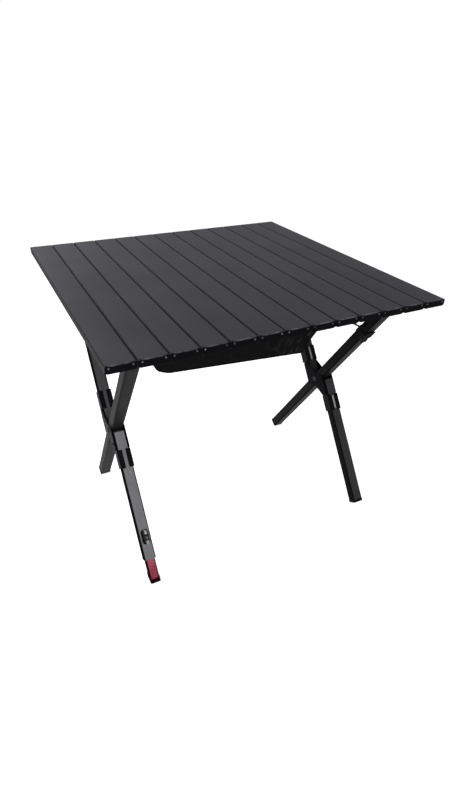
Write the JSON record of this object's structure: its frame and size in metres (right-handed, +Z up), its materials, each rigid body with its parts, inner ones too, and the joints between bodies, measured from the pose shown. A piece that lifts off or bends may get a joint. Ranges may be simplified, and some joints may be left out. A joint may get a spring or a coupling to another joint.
{
  "type": "folding camping table",
  "caption": "Folding camping table with a slatted roll-up aluminium top on two scissor leg frames, with a levelling foot and a net tray under the top.",
  "frame": {"origin": "on the floor under the middle of the top", "axes": "+X to the right along the front edge, across the slats; +Y to the back, along the slats; +Z up"},
  "size_m": [0.7002, 0.7, 0.6382],
  "materials": {
    "slat": "dark anodised extruded aluminium with black plastic ends",
    "rail": "dark anodised tube",
    "leg_tube": "grey anodised tube, satin",
    "leg_tube_dark": "grey anodised tube, satin",
    "black_plastic": "moulded black nylon",
    "steel": "zinc plated",
    "dark_steel": "blued plate, satin",
    "chrome": "polished",
    "red_tube": "red anodised",
    "foot_rubber": "dark red rubber",
    "net": "black knitted net with a bound edge",
    "webbing": "woven webbing",
    "elastic": "braided elastic cord"
  },
  "bodies": {
    "top": {"centre_clip": "black_plastic", "elastic_cord_front": "elastic", "elastic_cord_rear": "elastic", "front_bracket_left": "steel", "front_bracket_right": "steel", "front_rail": "rail", "net_strap_left": "webbing", "net_strap_right": "webbing", "slat_07": "slat", "storage_net": "net"},
    "outer_legs": {"outer_foot_left": "black_plastic", "outer_foot_right": "black_plastic", "outer_head_left": "black_plastic", "outer_head_right": "black_plastic", "outer_leg_left": "leg_tube_dark", "outer_leg_right": "leg_tube_dark", "strap_loop": "webbing"},
    "inner_legs": {"hub_pin_left": "steel", "hub_pin_right": "steel", "hub_plate_left_inner": "dark_steel", "hub_plate_left_outer": "dark_steel", "hub_plate_right_inner": "dark_steel", "hub_plate_right_outer": "dark_steel", "inner_foot_right": "black_plastic", "inner_head_left": "black_plastic", "inner_head_right": "black_plastic", "inner_lower_left": "leg_tube", "inner_lower_right": "leg_tube", "inner_upper_left": "leg_tube", "inner_upper_right": "leg_tube", "knob_seat": "black_plastic", "lower_clip_left": "black_plastic", "lower_clip_right": "black_plastic", "stop_plug_left": "black_plastic", "stop_plug_right": "black_plastic", "upper_clip_left": "black_plastic", "upper_clip_right": "black_plastic"},
    "rear_rail": {"rear_bracket_left": "steel", "rear_bracket_right": "steel", "rear_rail": "rail"},
    "levelling_foot": {"levelling_foot": "red_tube", "foot_pad": "foot_rubber"},
    "foot_knob": {"foot_knob": "chrome"},
    "slat_01": {"slat_01": "slat"},
    "slat_02": {"slat_02": "slat"},
    "slat_03": {"slat_03": "slat", "front_lug_left": "black_plastic", "rear_lug_left": "black_plastic"},
    "slat_04": {"slat_04": "slat"},
    "slat_05": {"slat_05": "slat"},
    "slat_06": {"slat_06": "slat"},
    "slat_08": {"slat_08": "slat"},
    "slat_09": {"slat_09": "slat"},
    "slat_10": {"slat_10": "slat"},
    "slat_11": {"slat_11": "slat", "front_lug_right": "black_plastic", "rear_lug_right": "black_plastic"},
    "slat_12": {"slat_12": "slat"},
    "slat_13": {"slat_13": "slat"}
  },
  "joints": [
    {"name": "frame_fold", "type": "hinge", "parent": "top", "child": "outer_legs", "pos_m": [0, -0.2414, 0.5915], "axis": [-1, 0, 0], "range_deg": [0, 35], "deforming": ["net_strap_left", "net_strap_right"]},
    {"name": "inner_fold", "type": "hinge", "parent": "outer_legs", "child": "inner_legs", "pos_m": [0, -0.0045, 0.28586], "axis": [1, 0, 0], "range_deg": [0, 70]},
    {"name": "rear_rail_level", "type": "hinge", "parent": "inner_legs", "child": "rear_rail", "pos_m": [0, 0.2324, 0.5915], "axis": [-1, 0, 0], "range_deg": [0, 35]},
    {"name": "foot_slide", "type": "slide", "parent": "inner_legs", "child": "levelling_foot", "axis": [0, -0.566, -0.8244], "range_m": [-0.022, 0.03]},
    {"name": "knob_turn", "type": "hinge", "parent": "inner_legs", "child": "foot_knob", "pos_m": [-0.27005, -0.18817, 0.09213], "axis": [0, -0.8244, 0.566], "range_deg": [0, 180]},
    {"name": "roll_06", "type": "hinge", "parent": "top", "child": "slat_06", "pos_m": [-0.02695, 0, 0.638], "axis": [0, 1, 0], "range_deg": [0, 27.2], "deforming": ["elastic_cord_front", "elastic_cord_rear"]},
    {"name": "roll_05", "type": "hinge", "parent": "slat_06", "child": "slat_05", "pos_m": [-0.08085, 0, 0.638], "axis": [0, 1, 0], "range_deg": [0, 27.2]},
    {"name": "roll_04", "type": "hinge", "parent": "slat_05", "child": "slat_04", "pos_m": [-0.13475, 0, 0.638], "axis": [0, 1, 0], "range_deg": [0, 27.2]},
    {"name": "roll_03", "type": "hinge", "parent": "slat_04", "child": "slat_03", "pos_m": [-0.18865, 0, 0.638], "axis": [0, 1, 0], "range_deg": [0, 27.2]},
    {"name": "roll_02", "type": "hinge", "parent": "slat_03", "child": "slat_02", "pos_m": [-0.24255, 0, 0.638], "axis": [0, 1, 0], "range_deg": [0, 27.2]},
    {"name": "roll_01", "type": "hinge", "parent": "slat_02", "child": "slat_01", "pos_m": [-0.29645, 0, 0.638], "axis": [0, 1, 0], "range_deg": [0, 27.2]},
    {"name": "roll_08", "type": "hinge", "parent": "top", "child": "slat_08", "pos_m": [0.02695, 0, 0.638], "axis": [0, -1, 0], "range_deg": [0, 27.2]},
    {"name": "roll_09", "type": "hinge", "parent": "slat_08", "child": "slat_09", "pos_m": [0.08085, 0, 0.638], "axis": [0, -1, 0], "range_deg": [0, 27.2]},
    {"name": "roll_10", "type": "hinge", "parent": "slat_09", "child": "slat_10", "pos_m": [0.13475, 0, 0.638], "axis": [0, -1, 0], "range_deg": [0, 27.2]},
    {"name": "roll_11", "type": "hinge", "parent": "slat_10", "child": "slat_11", "pos_m": [0.18865, 0, 0.638], "axis": [0, -1, 0], "range_deg": [0, 27.2]},
    {"name": "roll_12", "type": "hinge", "parent": "slat_11", "child": "slat_12", "pos_m": [0.24255, 0, 0.638], "axis": [0, -1, 0], "range_deg": [0, 27.2]},
    {"name": "roll_13", "type": "hinge", "parent": "slat_12", "child": "slat_13", "pos_m": [0.29645, 0, 0.638], "axis": [0, -1, 0], "range_deg": [0, 27.2]}
  ],
  "couplings": [
    {"joint": "inner_fold", "follows": "frame_fold", "ratio": 2},
    {"joint": "rear_rail_level", "follows": "frame_fold", "ratio": 1},
    {"joint": "roll_05", "follows": "roll_06", "ratio": 1},
    {"joint": "roll_04", "follows": "roll_06", "ratio": 1},
    {"joint": "roll_03", "follows": "roll_06", "ratio": 1},
    {"joint": "roll_02", "follows": "roll_06", "ratio": 1},
    {"joint": "roll_01", "follows": "roll_06", "ratio": 1},
    {"joint": "roll_08", "follows": "roll_06", "ratio": 1},
    {"joint": "roll_09", "follows": "roll_06", "ratio": 1},
    {"joint": "roll_10", "follows": "roll_06", "ratio": 1},
    {"joint": "roll_11", "follows": "roll_06", "ratio": 1},
    {"joint": "roll_12", "follows": "roll_06", "ratio": 1},
    {"joint": "roll_13", "follows": "roll_06", "ratio": 1}
  ]
}
